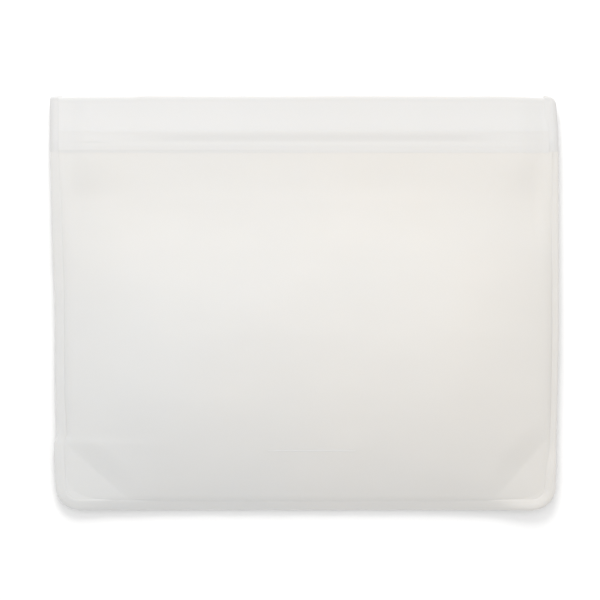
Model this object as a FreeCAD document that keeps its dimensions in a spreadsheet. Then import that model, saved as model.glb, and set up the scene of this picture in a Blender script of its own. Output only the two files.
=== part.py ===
import FreeCAD, Part
import math
import os
import Sketcher
from FreeCAD import Rotation, Vector

# A reusable silicone zip bag, lying on its back: +X to the right, +Y toward the mouth and +Z up,
# away from the surface it lies on. The origin is the middle of the footprint, on that surface.
# Every driving size is in millimetres, and a share is a plain ratio.

SIZES = {
    "bag_width": 260.0,
    "bag_length": 211.5,
    # the flat bond round three sides
    "seam_width": 5.8,
    "seam_thickness": 3.0,
    "bond_height": 6.5,
    "corner_radius": 12.0,
    "seam_round_share": 0.4,
    "front_corner_inset": 3.2,
    "back_corner_inset": 5.0,
    # the two silicone sheets
    "wall_thickness": 1.2,
    "part_gap": 0.4,
    "root_gap": 1.2,
    "front_crown": 24.5,
    "front_shoulder": 50.0,
    "back_shoulder": 34.0,
    # where the inside of each sheet starts, as a share of its way, and how far it runs past its end
    "front_inner_start": 0.016,
    "back_inner_start": 0.012,
    "inner_overrun": 0.02,
    # the lips above the closure, with a middle stretch that peels
    "lip_length": 16.95,
    "lip_thickness": 1.5,
    "lip_middle_width": 124.0,
    "lip_step": 0.3,
    "lip_round_share": 0.48,
    "left_top_radius": 1.6,
    "right_top_radius": 4.6,
    # the closure: two plates, with beads on one and channels on the other
    "closure_length": 11.3,
    "closure_height": 8.0,
    "end_round_share": 0.3,
    "plate_thickness": 1.6,
    "outer_relief": 0.5,
    "relief_width": 2.2,
    "track_inset": 2.1,
    "track_pitch": 6.6,
    "bead_radius": 1.0,
    "bead_neck": 0.9,
    "bead_reach": 3.0,
    "channel_width": 4.0,
    "channel_height": 3.9,
    "snap_clearance": 0.3,
    # the short raised line low on the front wall
    "mark_length": 44.5,
    "mark_width": 0.7,
    "mark_height": 0.9,
    "mark_centre_x": 3.5,
    "mark_centre_y": -74.6,
    "mark_slope": 26.0,
}

# Where each cross-section of the front wall stands, as a share of the way from the bottom root
# (0) to the closure (1), and how high it is, as a share of the crown.
FRONT_SECTIONS = (
    (0.0, 0.07), (0.075, 0.62), (0.18, 0.92), (0.3, 1.0), (0.45, 0.9), (0.65, 0.58), (0.82, 0.3), (1.0, 0.18),
)

# The same for the back wall, as a share of the depth from the bond down to the surface.
BACK_SECTIONS = ((0.0, 0.5), (0.16, 1.0), (0.8, 1.0), (1.0, 0.6))

HALF_WIDTH = "dims.bag_width / 2"
SEAM_INSIDE = "(dims.bag_width / 2 - dims.seam_width)"
MOVING_HALF_WIDTH = "(dims.bag_width / 2 - dims.seam_width - dims.part_gap)"
FRONT_WALL_HALF_WIDTH = "(dims.bag_width / 2 - dims.seam_width - 2 * dims.part_gap)"
LIP_MIDDLE_HALF = "dims.lip_middle_width / 2"
TOP_EDGE = "dims.bag_length / 2"
BOTTOM_EDGE = "(0 - dims.bag_length / 2)"
BOTTOM_SEAM_INSIDE = "(dims.seam_width - dims.bag_length / 2)"
LIP_ROOT = "(dims.bag_length / 2 - dims.lip_length)"
CLOSURE_TOP = "(dims.bag_length / 2 - dims.lip_length - dims.lip_step)"
CLOSURE_FOOT = "(dims.bag_length / 2 - dims.lip_length - dims.closure_length)"
CORNER_START_X = "(dims.bag_width / 2 - dims.corner_radius)"
CORNER_START_Y = "(dims.corner_radius - dims.bag_length / 2)"
SEAM_LOW = "(dims.bond_height - dims.seam_thickness / 2)"
SEAM_HIGH = "(dims.bond_height + dims.seam_thickness / 2)"
CLOSURE_LOW = "(dims.bond_height - dims.closure_height / 2)"
CLOSURE_HIGH = "(dims.bond_height + dims.closure_height / 2)"
FRONT_PLATE_LOW = "(dims.bond_height + dims.closure_height / 2 - dims.plate_thickness)"
BACK_PLATE_HIGH = "(dims.bond_height - dims.closure_height / 2 + dims.plate_thickness)"
UPPER_TRACK = f"({CLOSURE_TOP} - dims.track_inset)"
LOWER_TRACK = f"({CLOSURE_TOP} - dims.track_inset - dims.track_pitch)"
FRONT_RIM = "(dims.bond_height + dims.part_gap / 2)"
BACK_RIM = "(dims.bond_height - dims.part_gap / 2)"
FRONT_ROOT = "(dims.seam_width - dims.bag_length / 2 + dims.root_gap)"

os.makedirs("parts", exist_ok=True)
doc = FreeCAD.newDocument("SiliconeBag")
sheet = doc.addObject("Spreadsheet::Sheet", "dims")
for row, (size_name, size) in enumerate(SIZES.items(), start=1):
    sheet.set(f"A{row}", size_name)
    sheet.set(f"B{row}", str(size))
    sheet.setAlias(f"B{row}", size_name)
doc.recompute()

finished = []


def value(expression):
    """The number that an expression on the sheet gives now."""
    return float(sheet.evalExpression(expression))


def negative(expression):
    return f"(0 - {expression})"


def new_body(label):
    body = doc.addObject("PartDesign::Body", label)
    body.Label = label
    finished.append(body)
    return body


def new_sketch(body, name, plane, offset="0"):
    """A sketch on one of the body's own origin planes, moved along that plane's normal."""
    sketch = body.newObject("Sketcher::SketchObject", name)
    support = next(f for f in body.Origin.OriginFeatures if f.Role == plane)
    sketch.AttachmentSupport = [(support, "")]
    sketch.MapMode = "FlatFace"
    sketch.setExpression("AttachmentOffset.Base.z", offset)
    return sketch


def pin(sketch, curve, end, across, along):
    """Hold one end of a sketch curve at two size expressions from the sketch's origin."""
    for kind, expression in (("DistanceX", across), ("DistanceY", along)):
        index = sketch.addConstraint(Sketcher.Constraint(kind, -1, 1, curve, end, value(expression)))
        sketch.setExpression(f"Constraints[{index}]", expression)


def polygon(sketch, corners):
    """A closed straight-sided outline, with each corner a pair of size expressions."""
    points = [Vector(value(across), value(along), 0) for across, along in corners]
    for here, there in zip(points, points[1:] + points[:1]):
        sketch.addGeometry(Part.LineSegment(here, there))
    for index, (across, along) in enumerate(corners):
        following = (index + 1) % len(corners)
        sketch.addConstraint(Sketcher.Constraint("Coincident", index, 2, following, 1))
        pin(sketch, index, 1, across, along)


def circle(sketch, across, along, radius):
    centre = Vector(value(across), value(along), 0)
    curve = sketch.addGeometry(Part.Circle(centre, Vector(0, 0, 1), value(radius)))
    pin(sketch, curve, 3, across, along)
    index = sketch.addConstraint(Sketcher.Constraint("Radius", curve, value(radius)))
    sketch.setExpression(f"Constraints[{index}]", radius)


def pad(body, sketch, length, symmetric=False):
    feature = body.newObject("PartDesign::Pad", f"{body.Label}_pad")
    feature.Profile = sketch
    feature.setExpression("Length", length)
    feature.Midplane = symmetric
    sketch.Visibility = False
    return feature


def pocket_through(body, sketch):
    """Cut a profile right through the body, both ways from its sketch."""
    feature = body.newObject("PartDesign::Pocket", f"{body.Label}_pocket")
    feature.Profile = sketch
    feature.Type = "ThroughAll"
    feature.Midplane = True
    sketch.Visibility = False
    return feature


def round_edges(body, feature, direction, radius, wanted=lambda middle: True):
    """Round the straight edges that lie along a direction and whose middles are wanted."""
    doc.recompute()
    names = []
    for number, edge in enumerate(feature.Shape.Edges, start=1):
        if not isinstance(edge.Curve, Part.Line):
            continue
        along = abs(edge.Curve.Direction.dot(direction)) > 0.999
        if along and wanted(edge.CenterOfMass):
            names.append(f"Edge{number}")
    fillet = body.newObject("PartDesign::Fillet", f"{body.Label}_round")
    fillet.Base = (feature, names)
    fillet.setExpression("Radius", radius)
    return fillet


def block(label, low, high):
    """A body with one rectangular pad between two corners, each three size expressions."""
    body = new_body(label)
    sketch = new_sketch(body, f"{label}_outline", "XY_Plane", low[2])
    polygon(sketch, ((low[0], low[1]), (high[0], low[1]), (high[0], high[1]), (low[0], high[1])))
    return body, pad(body, sketch, f"{high[2]} - {low[2]}")


def mirrored(low, high, side):
    """The same block corners on the left (-1) or the right (+1) of the bag."""
    if side > 0:
        return low, high
    return (negative(high[0]), *low[1:]), (negative(low[0]), *high[1:])


def domed_section(body, name, station, half_width, rim, rise, shoulder):
    """A flat-based cross-section whose two shoulders are arcs that run level into its top."""
    sketch = new_sketch(body, name, "XZ_Plane", negative(station))
    width, base, height, run = value(half_width), value(rim), value(rise), value(shoulder)
    way = math.copysign(1, height)
    radius = (run**2 + height**2) / (2 * abs(height))
    corner_angle = math.atan2(radius - abs(height), run)
    top = f"({rim} + {rise})"
    inner = f"({half_width} - {shoulder})"
    sketch.addGeometry(Part.LineSegment(Vector(-width, base, 0), Vector(width, base, 0)))
    sketch.addGeometry(
        Part.LineSegment(Vector(width - run, base + height, 0), Vector(run - width, base + height, 0))
    )
    arcs = []
    for side in (1, -1):
        centre = Vector(side * (width - run), base + height - way * radius, 0)
        ends = [math.pi / 2, corner_angle] if side > 0 else [math.pi / 2, math.pi - corner_angle]
        start, stop = sorted(way * angle for angle in ends)
        arc = Part.ArcOfCircle(Part.Circle(centre, Vector(0, 0, 1), radius), start, stop)
        arcs.append((side, sketch.addGeometry(arc)))
    pin(sketch, 0, 1, negative(half_width), rim)
    pin(sketch, 0, 2, half_width, rim)
    pin(sketch, 1, 1, inner, top)
    pin(sketch, 1, 2, negative(inner), top)
    for side, arc in arcs:
        top_end = 2 if side * way > 0 else 1
        base_end = 3 - top_end
        line_end = 1 if side > 0 else 2
        sketch.addConstraint(Sketcher.Constraint("Tangent", arc, top_end, 1, line_end))
        sketch.addConstraint(Sketcher.Constraint("Coincident", arc, base_end, 0, 2 if side > 0 else 1))
    return sketch


def loft(body, kind, sketches, ruled):
    feature = body.newObject(f"PartDesign::{kind}", f"{body.Label}_{kind}")
    feature.Profile = sketches[0]
    feature.Sections = sketches[1:]
    feature.Ruled = ruled
    for sketch in sketches:
        sketch.Visibility = False
    return feature


def share_of_way(start, end, share):
    return f"({start} + {share} * ({end} - {start}))"


def inner_share(face, share):
    """The inside of a wall starts a little past its root and runs out through its open end."""
    start = f"dims.{face}_inner_start"
    return f"({start} + {share} * (1 + dims.inner_overrun - {start}))"


def tapered(half_width, face, share):
    """A wall is narrower where it runs between the rounded corners at its root."""
    return f"({half_width} - dims.{face}_corner_inset)" if share == 0 else half_width


def front_wall():
    """The puffed front sheet: a dome open underneath and toward the closure."""
    body = new_body("front_wall")
    outside, inside = [], []
    rise_to_crown = f"(dims.front_crown - {FRONT_RIM})"
    for number, (share, height) in enumerate(FRONT_SECTIONS, start=1):
        station = share_of_way(FRONT_ROOT, CLOSURE_FOOT, share)
        outside.append(
            domed_section(
                body, f"front_outside_{number}", station, tapered(FRONT_WALL_HALF_WIDTH, "front", share), FRONT_RIM,
                f"({height} * {rise_to_crown})", "dims.front_shoulder",
            )
        )
    lower_rim = f"({FRONT_RIM} - dims.wall_thickness)"
    narrower = f"({FRONT_WALL_HALF_WIDTH} - 2 * dims.wall_thickness)"
    for number, (share, height) in enumerate(FRONT_SECTIONS, start=1):
        station = share_of_way(FRONT_ROOT, CLOSURE_FOOT, inner_share("front", share))
        inside.append(
            domed_section(
                body, f"front_inside_{number}", station, tapered(narrower, "front", share), lower_rim,
                f"({height} * {rise_to_crown})", "dims.front_shoulder",
            )
        )
    loft(body, "AdditiveLoft", outside, False)
    loft(body, "SubtractiveLoft", inside, False)
    root = new_sketch(body, "front_root_fold", "YZ_Plane")
    root_radius = "dims.wall_thickness / 2"
    circle(root, FRONT_ROOT, f"({FRONT_RIM} + {root_radius})", root_radius)
    pad(body, root, f"2 * ({MOVING_HALF_WIDTH} - dims.front_shoulder)", symmetric=True)
    return body


def back_wall():
    """The back sheet: a shallow dish that the bag lies on."""
    body = new_body("back_wall")
    depth = BACK_RIM
    outside, inside = [], []
    for number, (share, height) in enumerate(BACK_SECTIONS, start=1):
        station = share_of_way(BOTTOM_SEAM_INSIDE, CLOSURE_FOOT, share)
        outside.append(
            domed_section(
                body, f"back_outside_{number}", station, tapered(SEAM_INSIDE, "back", share), BACK_RIM,
                f"(0 - {height} * {depth})", "dims.back_shoulder",
            )
        )
    upper_rim = f"({BACK_RIM} + dims.wall_thickness)"
    narrower = f"({SEAM_INSIDE} - 2 * dims.wall_thickness)"
    for number, (share, height) in enumerate(BACK_SECTIONS, start=1):
        station = share_of_way(BOTTOM_SEAM_INSIDE, CLOSURE_FOOT, inner_share("back", share))
        inside.append(
            domed_section(
                body, f"back_inside_{number}", station, tapered(narrower, "back", share), upper_rim,
                f"(0 - {height} * {depth})", "dims.back_shoulder",
            )
        )
    loft(body, "AdditiveLoft", outside, True)
    loft(body, "SubtractiveLoft", inside, True)
    return body


def front_closure_strip():
    """The front plate of the zip, with a ridge and a rib that show outside and a groove between."""
    body = new_body("front_closure_strip")
    sketch = new_sketch(body, "front_closure_profile", "YZ_Plane")
    groove = f"({CLOSURE_HIGH} - dims.outer_relief)"
    ridge_foot = f"({CLOSURE_TOP} - dims.relief_width)"
    rib_top = f"({LOWER_TRACK} + dims.relief_width / 2)"
    rib_foot = f"({LOWER_TRACK} - dims.relief_width / 2)"
    polygon(
        sketch,
        (
            (CLOSURE_FOOT, FRONT_PLATE_LOW),
            (CLOSURE_TOP, FRONT_PLATE_LOW),
            (CLOSURE_TOP, CLOSURE_HIGH),
            (ridge_foot, CLOSURE_HIGH),
            (ridge_foot, groove),
            (rib_top, groove),
            (rib_top, CLOSURE_HIGH),
            (rib_foot, CLOSURE_HIGH),
            (rib_foot, groove),
            (CLOSURE_FOOT, groove),
        ),
    )
    pad(body, sketch, f"2 * {MOVING_HALF_WIDTH}", symmetric=True)
    return body


def snap_bead(label, track):
    """A bead on the front plate: a neck that ends in a round head."""
    head_height = f"({FRONT_PLATE_LOW} - dims.bead_reach)"
    body, neck = block(
        label,
        (negative(MOVING_HALF_WIDTH), f"({track} - dims.bead_neck / 2)", head_height),
        (MOVING_HALF_WIDTH, f"({track} + dims.bead_neck / 2)", FRONT_PLATE_LOW),
    )
    head = new_sketch(body, f"{label}_head", "YZ_Plane")
    circle(head, track, head_height, "dims.bead_radius")
    pad(body, head, f"2 * {MOVING_HALF_WIDTH}", symmetric=True)
    return body


def snap_channel(label, track):
    """A channel on the back plate: a round bore behind two jaws that hold the bead's head."""
    half = "dims.channel_width / 2"
    height = f"({BACK_PLATE_HIGH} + dims.channel_height)"
    body, rail = block(
        label,
        (negative(SEAM_INSIDE), f"({track} - {half})", BACK_PLATE_HIGH),
        (SEAM_INSIDE, f"({track} + {half})", height),
    )
    bore_height = f"({FRONT_PLATE_LOW} - dims.bead_reach)"
    bore = new_sketch(body, f"{label}_bore", "YZ_Plane")
    circle(bore, track, bore_height, "(dims.bead_radius + dims.snap_clearance)")
    pocket_through(body, bore)
    slot_half = "(dims.bead_neck / 2 + dims.snap_clearance)"
    slot = new_sketch(body, f"{label}_slot", "YZ_Plane")
    above = f"({height} + dims.snap_clearance)"
    polygon(
        slot,
        (
            (f"({track} - {slot_half})", bore_height),
            (f"({track} + {slot_half})", bore_height),
            (f"({track} + {slot_half})", above),
            (f"({track} - {slot_half})", above),
        ),
    )
    pocket_through(body, slot)
    return body


def lips(face, low, high):
    """One lip: a middle stretch that peels on a rounded root, and two stretches beside it."""
    body, strip = block(
        f"{face}_lip",
        (negative(f"({LIP_MIDDLE_HALF} - dims.part_gap / 2)"), LIP_ROOT, low),
        (f"({LIP_MIDDLE_HALF} - dims.part_gap / 2)", TOP_EDGE, high),
    )
    round_edges(body, strip, Vector(1, 0, 0), "dims.lip_thickness * dims.lip_round_share")
    reach = MOVING_HALF_WIDTH if face == "front" else SEAM_INSIDE
    for side, word in ((-1, "left"), (1, "right")):
        corners = mirrored(
            (f"({LIP_MIDDLE_HALF} + dims.part_gap / 2)", CLOSURE_TOP, low), (reach, TOP_EDGE, high), side
        )
        body, strip = block(f"{face}_lip_{word}", *corners)
        free_edge = value(TOP_EDGE)
        round_edges(
            body, strip, Vector(1, 0, 0), "dims.lip_thickness * dims.lip_round_share",
            lambda middle: abs(middle.y - free_edge) < 1e-6,
        )


def side_pieces(side, word):
    """The bonded edge on one side: its seam, its corner, its closure end and its lip end."""
    low, high = mirrored((SEAM_INSIDE, CORNER_START_Y, SEAM_LOW), (HALF_WIDTH, CLOSURE_FOOT, SEAM_HIGH), side)
    outer = value(HALF_WIDTH)

    def is_outer(middle):
        return abs(abs(middle.x) - outer) < 1e-6

    body, seam = block(f"{word}_side_seam", low, high)
    round_edges(body, seam, Vector(0, 1, 0), "dims.seam_thickness * dims.seam_round_share", is_outer)

    low, high = mirrored((SEAM_INSIDE, CLOSURE_FOOT, CLOSURE_LOW), (HALF_WIDTH, CLOSURE_TOP, CLOSURE_HIGH), side)
    body, end = block(f"{word}_closure_end", low, high)
    round_edges(body, end, Vector(0, 1, 0), "dims.closure_height * dims.end_round_share", is_outer)

    low, high = mirrored((SEAM_INSIDE, CLOSURE_TOP, CLOSURE_LOW), (HALF_WIDTH, TOP_EDGE, CLOSURE_HIGH), side)
    body, end = block(f"{word}_lip_end", low, high)
    free_edge = value(TOP_EDGE)
    round_edges(
        body, end, Vector(0, 0, 1), f"dims.{word}_top_radius",
        lambda middle: is_outer(middle) and abs(middle.y - free_edge) < 1e-6,
    )

    body = new_body(f"{word}_corner_seam")
    sketch = new_sketch(body, f"{word}_corner_outline", "XY_Plane", SEAM_LOW)
    centre_x = CORNER_START_X if side > 0 else negative(CORNER_START_X)
    centre = Vector(value(centre_x), value(CORNER_START_Y), 0)
    start = math.pi * 1.5 if side > 0 else math.pi
    radii = ("dims.corner_radius", "(dims.corner_radius - dims.seam_width)")
    for radius in radii:
        ring = Part.Circle(centre, Vector(0, 0, 1), value(radius))
        curve = sketch.addGeometry(Part.ArcOfCircle(ring, start, start + math.pi / 2))
        pin(sketch, curve, 3, centre_x, CORNER_START_Y)
        index = sketch.addConstraint(Sketcher.Constraint("Radius", curve, value(radius)))
        sketch.setExpression(f"Constraints[{index}]", radius)
    for end in (1, 2):
        points = [sketch.getPoint(curve, end) for curve in (0, 1)]
        line = sketch.addGeometry(Part.LineSegment(*points))
        for curve in (0, 1):
            sketch.addConstraint(Sketcher.Constraint("Coincident", line, curve + 1, curve, end))
        level = "Horizontal" if abs(points[0].y - points[1].y) < 1e-6 else "Vertical"
        sketch.addConstraint(Sketcher.Constraint(level, line))
    pad(body, sketch, "dims.seam_thickness")


def mark_line():
    """The thin raised line, laid on the slope of the front wall."""
    bar = doc.addObject("Part::Box", "mark_bar")
    bar.setExpression("Length", "dims.mark_length")
    bar.setExpression("Width", "dims.mark_width")
    bar.setExpression("Height", "dims.mark_height")
    wall = doc.getObject("front_wall").Shape
    middle = Vector(value("dims.mark_centre_x"), value("dims.mark_centre_y"), value("dims.front_crown"))
    ray = Part.makeLine(middle, Vector(middle.x, middle.y, value(SEAM_LOW)))
    surface = max(vertex.Z for vertex in wall.common(ray).Vertexes)
    bar.Placement.Rotation = Rotation(Vector(1, 0, 0), value("dims.mark_slope"))
    bar.Placement.Base = Vector(
        middle.x - value("dims.mark_length") / 2, middle.y, surface - value("dims.mark_height") / 2
    )
    line = doc.addObject("Part::Cut", "mark_line")
    line.Label = "mark_line"
    line.Base = bar
    line.Tool = doc.getObject("front_wall")
    finished.append(line)


front_wall()
back_wall()
front_closure_strip()
block(
    "back_closure_strip",
    (negative(SEAM_INSIDE), CLOSURE_FOOT, CLOSURE_LOW),
    (SEAM_INSIDE, CLOSURE_TOP, BACK_PLATE_HIGH),
)
for track_name, track_line in (("upper", UPPER_TRACK), ("lower", LOWER_TRACK)):
    snap_bead(f"{track_name}_bead", track_line)
    snap_channel(f"{track_name}_channel", track_line)
lips("front", f"({CLOSURE_HIGH} - dims.lip_thickness)", CLOSURE_HIGH)
lips("back", CLOSURE_LOW, f"({CLOSURE_LOW} + dims.lip_thickness)")
for side_sign, side_word in ((-1, "left"), (1, "right")):
    side_pieces(side_sign, side_word)
block(
    "bottom_seam",
    (negative(CORNER_START_X), BOTTOM_EDGE, SEAM_LOW),
    (CORNER_START_X, BOTTOM_SEAM_INSIDE, SEAM_HIGH),
)
doc.recompute()
mark_line()
doc.recompute()

for thing in doc.Objects:
    if {"Invalid", "Error"} & set(thing.State):
        raise RuntimeError(f"{thing.Label} did not build: {thing.State}")
for piece in finished:
    if piece.Shape.isNull() or not piece.Shape.isValid() or len(piece.Shape.Solids) != 1:
        raise RuntimeError(f"{piece.Label} is not one valid solid")
for piece in finished:
    piece.Shape.exportStep(f"parts/{piece.Label}.step")
    box = piece.Shape.optimalBoundingBox()
    print(f"{piece.Label:22s} {piece.Shape.Volume:10.1f} mm3  "
          f"x {box.XMin:7.1f} {box.XMax:7.1f}  y {box.YMin:7.1f} {box.YMax:7.1f}  z {box.ZMin:5.2f} {box.ZMax:5.2f}")
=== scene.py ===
import logging
import math
from collections.abc import Callable
from dataclasses import dataclass
from enum import Enum

import bmesh
import bpy
import numpy as np
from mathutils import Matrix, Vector


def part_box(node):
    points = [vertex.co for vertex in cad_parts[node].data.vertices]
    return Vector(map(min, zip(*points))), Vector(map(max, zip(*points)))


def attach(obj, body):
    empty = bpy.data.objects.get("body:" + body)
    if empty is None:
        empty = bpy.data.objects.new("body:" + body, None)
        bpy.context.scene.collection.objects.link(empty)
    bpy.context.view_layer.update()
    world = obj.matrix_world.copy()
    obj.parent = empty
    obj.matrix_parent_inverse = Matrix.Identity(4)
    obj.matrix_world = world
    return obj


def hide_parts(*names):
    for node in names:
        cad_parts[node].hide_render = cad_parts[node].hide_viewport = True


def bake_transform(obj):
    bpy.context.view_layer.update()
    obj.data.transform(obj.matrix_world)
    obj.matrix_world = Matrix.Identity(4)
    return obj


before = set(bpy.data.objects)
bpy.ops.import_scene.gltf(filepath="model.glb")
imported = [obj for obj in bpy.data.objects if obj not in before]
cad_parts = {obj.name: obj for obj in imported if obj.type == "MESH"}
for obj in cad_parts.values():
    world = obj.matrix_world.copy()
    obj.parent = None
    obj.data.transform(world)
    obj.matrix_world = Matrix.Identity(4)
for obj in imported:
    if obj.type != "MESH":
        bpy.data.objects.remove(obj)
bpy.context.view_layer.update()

LOG = logging.getLogger("silicone_bag")
MM = 0.001
SHARP_TURN = math.radians(50.0)
# The mesh attribute that carries painted shade; a finish darkens its colour by it.
PAINTED_SHADE_ATTRIBUTE = "thin"
Knots = tuple[tuple[float, float], ...]
Socket = tuple[str, str]
Value = bpy.types.NodeSocket | float | tuple[float, float, float]
COLOUR, NUMBER = "NodeSocketColor", "NodeSocketFloat"


class Body(Enum):
    """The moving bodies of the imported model."""

    BACK = "bag_back"
    FRONT = "front_panel"
    FRONT_LIP = "front_lip_body"
    BACK_LIP = "back_lip_body"


class Side(Enum):
    """Which side of the bag a bonded edge is on."""

    LEFT = -1
    RIGHT = 1


class Face(Enum):
    """Which half of the bag a piece belongs to, as the sign of its way out from the bond."""

    FRONT = 1
    BACK = -1


# --- Curves ---


def ease(share: np.ndarray | float) -> np.ndarray:
    """Take a share of a way to one that starts and stops gently, held between 0 and 1."""
    held = np.clip(share, 0.0, 1.0)
    return held * held * (3.0 - 2.0 * held)


def curve(knots: Knots, at: np.ndarray | float) -> np.ndarray:
    """Follow a row of knots smoothly, never rising or falling past them.

    Args:
        knots: Pairs of a place and the value there, with the places rising.
        at: The places to read.

    Returns:
        The value at each place.
    """
    places, values = np.array(knots).T
    run = np.diff(places)
    rate = np.diff(values) / run
    before, after = rate[:-1], rate[1:]
    same_way = before * after > 0.0
    total = np.where(same_way, before + after, 1.0)
    inner = np.where(same_way, 2.0 * before * after / total, 0.0)
    slope = np.concatenate([rate[:1], inner, rate[-1:]])
    held = np.clip(at, places[0], places[-1])
    step = np.clip(np.searchsorted(places, held) - 1, 0, len(places) - 2)
    share = (held - places[step]) / run[step]
    rest = 1.0 - share
    return (
        values[step] * (1.0 + 2.0 * share) * rest**2
        + values[step + 1] * (3.0 - 2.0 * share) * share**2
        + run[step] * share * rest * (slope[step] * rest - slope[step + 1] * share)
    )


def bell(offset: np.ndarray | float, reach: float) -> np.ndarray:
    """Rise to 1 at no offset, and fall gently to nothing at the reach on both sides."""
    return 1.0 - ease(np.abs(offset) / reach)


def blended_least(first: np.ndarray, second: np.ndarray, softness: float) -> np.ndarray:
    """Take the lower of two heights, rounding the crease where they cross.

    Args:
        first: One set of heights.
        second: The other set.
        softness: How far each side of the crossing the crease is rounded.

    Returns:
        The lower heights, with the rounded crease.
    """
    near = np.clip(0.5 + 0.5 * (second - first) / softness, 0.0, 1.0)
    return second + (first - second) * near - softness * near * (1.0 - near)


def ripples(x: np.ndarray, y: np.ndarray, length: float, turn: float) -> np.ndarray:
    """Give a calm, uneven swell between about -1 and 1, the same on every run.

    Args:
        x: Places across the bag.
        y: Places along the bag.
        length: The wavelength of the swell.
        turn: A number that sets one swell apart from another.

    Returns:
        The swell at each place.
    """
    waves = ((1.0, 0.31, 0.0), (0.83, -1.12, 1.7), (1.37, 0.74, 4.1), (0.46, 1.58, 2.6))
    total = np.zeros(np.broadcast(x, y).shape)
    for across, along, phase in waves:
        total = total + np.sin(2.0 * math.pi * (across * x + along * y) / length + phase + turn)
    return total / len(waves)


# --- The shape that every piece follows ---


@dataclass(frozen=True)
class BagForm:
    """The bag's outline and the heights of its walls, all in metres.

    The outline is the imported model's box, drawn in a little along its sides as soft silicone is.
    """

    left: float
    right: float
    bottom: float
    top: float
    closure_foot: float
    closure_top: float
    seam_width: float
    bond: float
    half_seam: float
    plate_top: float
    crown: float
    middle_lip_half: float
    shoulder_run: float = 60.0 * MM
    left_spring: float = 0.12
    right_spring: float = 0.17
    slack: float = 1.0 * MM
    tuck: float = 0.8 * MM
    right_tuck: float = 2.4 * MM
    rim_rise: float = 1.2 * MM
    corner_radius: float = 12.0 * MM
    left_top_radius: float = 1.6 * MM
    right_top_radius: float = 4.6 * MM
    left_drawn_in: Knots = (
        (-0.100, 0.0030), (-0.090, 0.0020), (-0.0720, 0.0016), (-0.0672, 0.0030), (-0.060, 0.0027),
        (-0.045, 0.0021), (0.0, 0.0018), (0.028, 0.0008), (0.060, 0.0), (0.085, -0.0007),
        (0.110, -0.0007),
    )
    right_drawn_in: Knots = (
        (-0.100, 0.0014), (-0.060, 0.0006), (-0.010, -0.0003), (0.080, -0.0002), (0.104, 0.0010),
    )
    spring_depth: float = 2.0 * MM
    climb_power: float = 1.8
    side_ease: float = 10.0 * MM
    bottom_ease: float = 14.0 * MM
    front_level_run: float = 26.0 * MM
    back_level_run: float = 30.0 * MM
    back_edge_run: tuple[float, float] = (30.0 * MM, 26.0 * MM)
    foot_height: float = 0.12 * MM
    foot_gap: float = 0.05 * MM
    weld_run: tuple[float, float] = (15.0 * MM, 14.0 * MM)
    left_cut: tuple[float, float] = (47.0 * MM, 41.0 * MM)
    right_cut: tuple[float, float] = (38.0 * MM, 44.0 * MM)
    corner_level: float = 2.3 * MM
    corner_slope: float = 0.38
    corner_steepening: float = 60.0 * MM
    corner_tilt: float = 0.10
    corner_softness: float = 3.0 * MM
    # Each dent: its centre, its reach across and along, and its depth, all in millimetres.
    dents: tuple[tuple[float, float, float, float, float], ...] = (
        (-119.0, 61.0, 14.0, 20.0, 0.9),
        (118.0, 59.0, 11.0, 24.0, 1.0),
        (-36.0, 15.0, 34.0, 12.0, 0.35),
        (58.0, -46.0, 30.0, 16.0, 0.3),
    )
    front_profile: Knots = (
        (-0.1008, 0.0), (-0.0995, 0.082), (-0.0960, 0.203), (-0.0900, 0.373), (-0.0800, 0.595),
        (-0.0700, 0.766), (-0.0620, 0.867), (-0.0540, 0.943), (-0.0460, 0.987), (-0.0380, 1.0),
        (-0.0300, 0.994), (-0.0180, 0.956), (-0.0050, 0.861), (0.0100, 0.715), (0.0250, 0.532),
        (0.0400, 0.342), (0.0500, 0.247), (0.0600, 0.190), (0.0780, 0.155),
    )
    left_droop: Knots = (
        (-0.0938, 1.7 * MM), (-0.0700, 1.3 * MM), (-0.0200, 2.2 * MM), (0.0350, 1.2 * MM),
        (0.0775, 1.9 * MM),
    )
    right_droop: Knots = (
        (-0.0938, 1.3 * MM), (-0.0500, 0.7 * MM), (0.0200, 0.5 * MM), (0.0775, 0.4 * MM),
    )
    bottom_droop: Knots = (
        (-0.1180, 1.7 * MM), (-0.0960, 3.2 * MM), (-0.0500, 4.3 * MM), (0.0500, 4.3 * MM),
        (0.0900, 3.4 * MM), (0.1180, 1.3 * MM),
    )

    @classmethod
    def from_frame(cls) -> "BagForm":
        """Read the form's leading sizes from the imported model's nodes."""
        seam_low, seam_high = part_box("bottom_seam")
        left_low, left_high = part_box("left_side_seam")
        _, right_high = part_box("right_side_seam")
        strip_low, strip_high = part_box("front_closure_strip")
        lip_low, lip_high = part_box("front_lip")
        _, wall_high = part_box("front_wall")
        return cls(
            left=left_low.x,
            right=right_high.x,
            bottom=seam_low.y,
            top=lip_high.y,
            closure_foot=strip_low.y,
            closure_top=strip_high.y,
            seam_width=left_high.x - left_low.x,
            bond=(seam_low.z + seam_high.z) / 2.0,
            half_seam=(seam_high.z - seam_low.z) / 2.0,
            plate_top=strip_high.z,
            crown=wall_high.z,
            middle_lip_half=(lip_high.x - lip_low.x) / 2.0 + 0.2 * MM,
        )

    def outer_left(self, y: np.ndarray | float) -> np.ndarray:
        """The left edge of the bag, without its rounded corners."""
        return self.left + curve(self.left_drawn_in, y)

    def outer_right(self, y: np.ndarray | float) -> np.ndarray:
        """The right edge of the bag, without its rounded corners."""
        return self.right - curve(self.right_drawn_in, y)

    def corner_centre(self, side: Side) -> tuple[float, float]:
        """The middle of one rounded bottom corner.

        Args:
            side: The side of the bag.

        Returns:
            Its place across and along.
        """
        y = self.bottom + self.corner_radius
        if side is Side.LEFT:
            return float(self.outer_left(y)) + self.corner_radius, y
        return float(self.outer_right(y)) - self.corner_radius, y

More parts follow.
